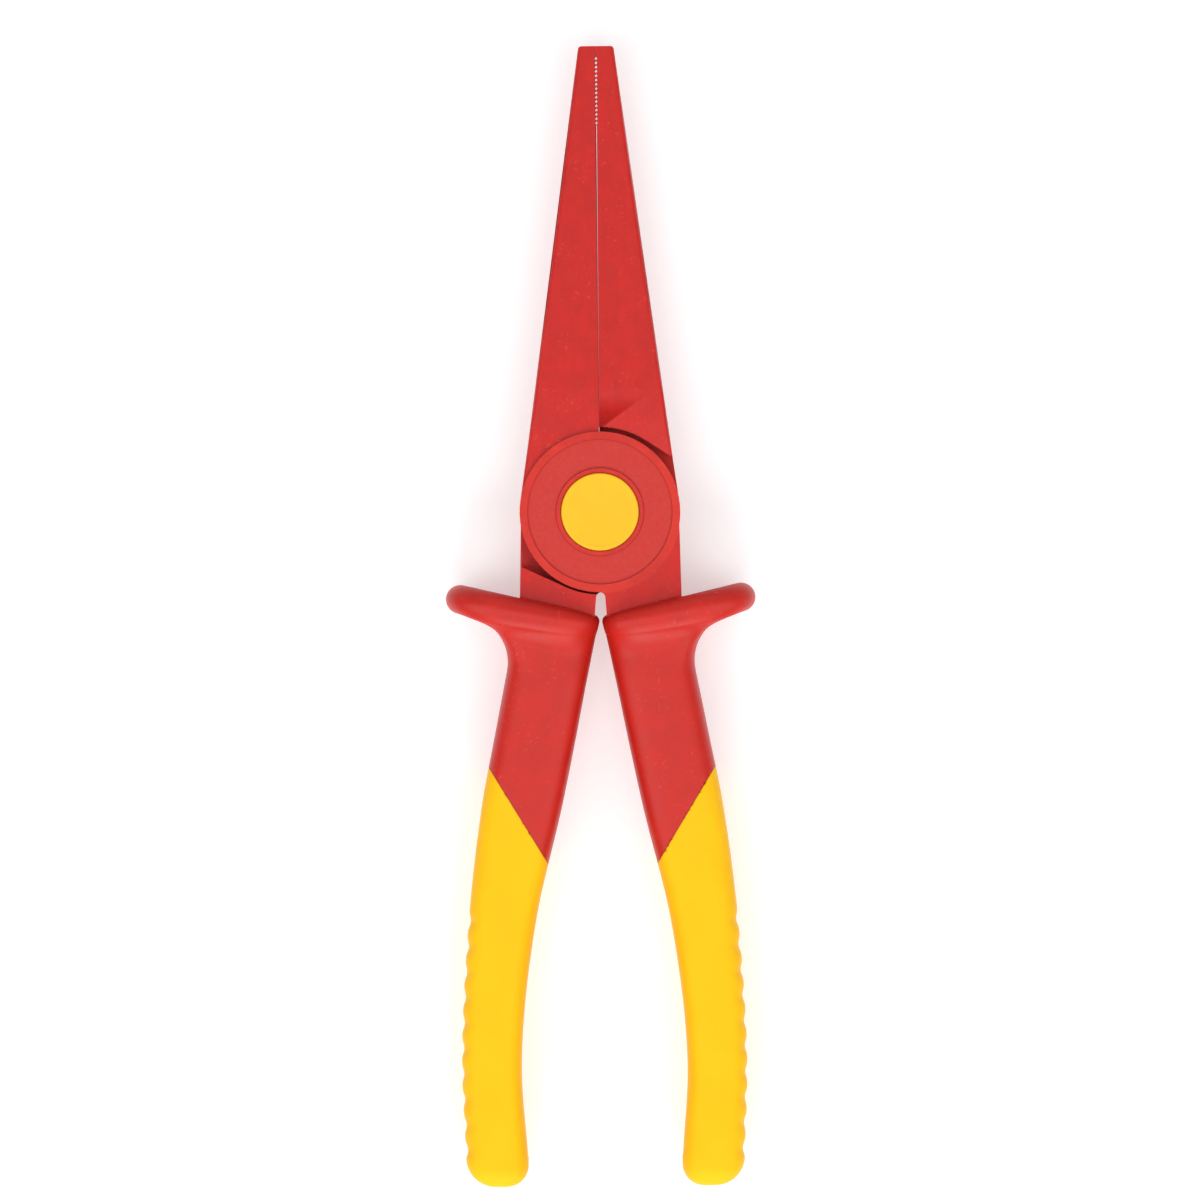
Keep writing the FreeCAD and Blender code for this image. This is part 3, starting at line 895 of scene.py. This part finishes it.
VIEW_MIDDLE = Vector((-0.00013, -0.017, 0))
CAMERA_HEIGHT = 4.0
CAMERA_TURN = math.radians(-0.504)
FRAME_WIDTH, FRAME_HEIGHT = 0.2316, 9.5 * MM    # Width in view, at this height
SKY_TINT, SKY_STRENGTH = (0.93, 0.96, 1.0, 1.0), 0.38
FLOOR_REACH = 3.0
SOFTBOXES = (    # Name, place, width, depth, power
    ("left_softbox", (-0.75, -0.35, 1.35), 0.8, 1.6, 9.8),
    ("right_softbox", (0.75, -0.35, 1.35), 0.8, 1.6, 8.4),
    ("foot_softbox", (0.0, -1.35, 0.9), 1.0, 0.8, 13.0),
    ("nose_softbox", (0.0, 1.25, 0.9), 1.0, 0.8, 2.2),
)


def lay_floor(scene):
    """The board that the tool lies on."""
    bm = bmesh.new()
    bmesh.ops.create_grid(bm, x_segments=8, y_segments=8, size=FLOOR_REACH)
    bmesh.ops.translate(bm, verts=bm.verts, vec=(0, 0, SHELL_LOW.z))
    mesh = bpy.data.meshes.new("floor_board")
    bm.to_mesh(mesh)
    bm.free()
    mesh.materials.append(floor_finish())
    floor = bpy.data.objects.new("floor_board", mesh)
    scene.collection.objects.link(floor)


def light_up(scene):
    """A faint cool sky and four softboxes aimed at the tool."""
    world = bpy.data.worlds.new("soft_studio")
    world.use_nodes = True
    background = world.node_tree.nodes["Background"]
    background.inputs["Color"].default_value = SKY_TINT
    background.inputs["Strength"].default_value = SKY_STRENGTH
    scene.world = world
    for name, place, width, depth, power in SOFTBOXES:
        light = bpy.data.lights.new(name, "AREA")
        light.shape = "RECTANGLE"
        light.size = width
        light.size_y = depth
        light.energy = power
        lamp = bpy.data.objects.new(name, light)
        lamp.location = place
        aim = VIEW_MIDDLE - Vector(place)
        lamp.rotation_euler = aim.to_track_quat("-Z", "Y").to_euler()
        scene.collection.objects.link(lamp)


def place_camera(scene):
    """Long lens straight above the tool."""
    data = bpy.data.cameras.new("straight_on_camera")
    data.lens = data.sensor_width * (CAMERA_HEIGHT - FRAME_HEIGHT) / FRAME_WIDTH
    data.clip_start = 0.1
    camera = bpy.data.objects.new("straight_on_camera", data)
    camera.location = VIEW_MIDDLE + Vector((0, 0, CAMERA_HEIGHT))
    camera.rotation_euler = (0, 0, CAMERA_TURN)
    scene.collection.objects.link(camera)
    scene.camera = camera
    scene.view_settings.view_transform = "Standard"


# -----------------------------------------------------------------------------------------
# Operators
# -----------------------------------------------------------------------------------------

class PLIERS_OT_levers(bpy.types.Operator):
    """Build the two levers with softened edges"""

    bl_idname = "pliers.levers"
    bl_label = "Levers"

    def execute(self, context):
        scene = context.scene
        material = lever_finish(scene.pliers_finishes)
        for side, body in LEVER_BODIES.items():
            node = f"{side}_lever"
            bm = draw_lever(scene.pliers_levers, scene.pliers_handles, node)
            add_piece(
                bm, f"{node}_moulding", body, node, material, sharp=35.0
            )
        return {"FINISHED"}


class PLIERS_OT_handle_shells(bpy.types.Operator):
    """Build the handle shells with their hand guards"""

    bl_idname = "pliers.handle_shells"
    bl_label = "Handle shells"

    def execute(self, context):
        scene = context.scene
        sizes, grip = scene.pliers_handles, scene.pliers_grips
        both_sides(
            lambda: part_blank(draw_blank(sizes, grip), grip, keep_grip=False),
            "shell_with_guard", "handle_shell",
            shell_finish(scene.pliers_finishes), sharp=50.0,
        )
        return {"FINISHED"}


class PLIERS_OT_soft_grips(bpy.types.Operator):
    """Build the soft grips with their scalloped outer edges"""

    bl_idname = "pliers.soft_grips"
    bl_label = "Soft grips"

    def execute(self, context):
        scene = context.scene
        sizes, grip = scene.pliers_handles, scene.pliers_grips
        both_sides(
            lambda: part_blank(draw_blank(sizes, grip), grip, keep_grip=True),
            "scalloped_grip", "soft_grip",
            grip_finish(scene.pliers_finishes), sharp=50.0,
        )
        return {"FINISHED"}


class PLIERS_OT_pivot_caps(bpy.types.Operator):
    """Build the two pivot caps, both pressed into the back lever's pivot"""

    bl_idname = "pliers.pivot_caps"
    bl_label = "Pivot caps"

    def execute(self, context):
        scene = context.scene
        both_sides(
            lambda: draw_cap(scene.pliers_caps), "cap_lid", "pivot_cap",
            cap_finish(scene.pliers_finishes), sharp=40.0, bodies=PIVOT_BODIES,
        )
        return {"FINISHED"}


class PLIERS_OT_pivot(bpy.types.Operator):
    """Give the hidden bolt and sleeve their finish"""

    bl_idname = "pliers.pivot"
    bl_label = "Bolt and sleeve"

    def execute(self, context):
        material = pivot_finish()
        for node in ("pivot_sleeve", "pivot_bolt"):
            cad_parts[node].material_slots[0].material = material
        return {"FINISHED"}


class PLIERS_OT_stage(bpy.types.Operator):
    """Set up the floor, the soft lights and the camera"""

    bl_idname = "pliers.stage"
    bl_label = "Stage"

    def execute(self, context):
        lay_floor(context.scene)
        light_up(context.scene)
        place_camera(context.scene)
        return {"FINISHED"}


class PLIERS_PT_panel(bpy.types.Panel):
    """Sidebar panel that lists the sizes, colours and pieces"""

    bl_idname = "PLIERS_PT_panel"
    bl_label = "Long-nose pliers"
    bl_space_type = "VIEW_3D"
    bl_region_type = "UI"
    bl_category = "Pliers"

    def draw(self, context):
        for group in GROUPS:
            box = self.layout.box()
            settings = getattr(context.scene, group)
            for key in type(settings).__annotations__:
                box.prop(settings, key)
        for operator in OPERATORS:
            self.layout.operator(operator.bl_idname)


GROUPS = {
    "pliers_levers": PliersLeverSizes,
    "pliers_handles": PliersHandleSizes,
    "pliers_grips": PliersGripSizes,
    "pliers_caps": PliersCapSizes,
    "pliers_finishes": PliersFinishes,
}
OPERATORS = (
    PLIERS_OT_levers, PLIERS_OT_handle_shells, PLIERS_OT_soft_grips,
    PLIERS_OT_pivot_caps, PLIERS_OT_pivot, PLIERS_OT_stage,
)


def register():
    for item in (*GROUPS.values(), *OPERATORS, PLIERS_PT_panel):
        bpy.utils.register_class(item)
    for name, group in GROUPS.items():
        setattr(bpy.types.Scene, name, PointerProperty(type=group))


def unregister():
    for name in GROUPS:
        delattr(bpy.types.Scene, name)
    for item in reversed((*GROUPS.values(), *OPERATORS, PLIERS_PT_panel)):
        bpy.utils.unregister_class(item)


def main():
    register()
    bpy.ops.pliers.levers()
    bpy.ops.pliers.handle_shells()
    bpy.ops.pliers.soft_grips()
    bpy.ops.pliers.pivot_caps()
    bpy.ops.pliers.pivot()
    bpy.ops.pliers.stage()


if __name__ == "__main__":
    main()
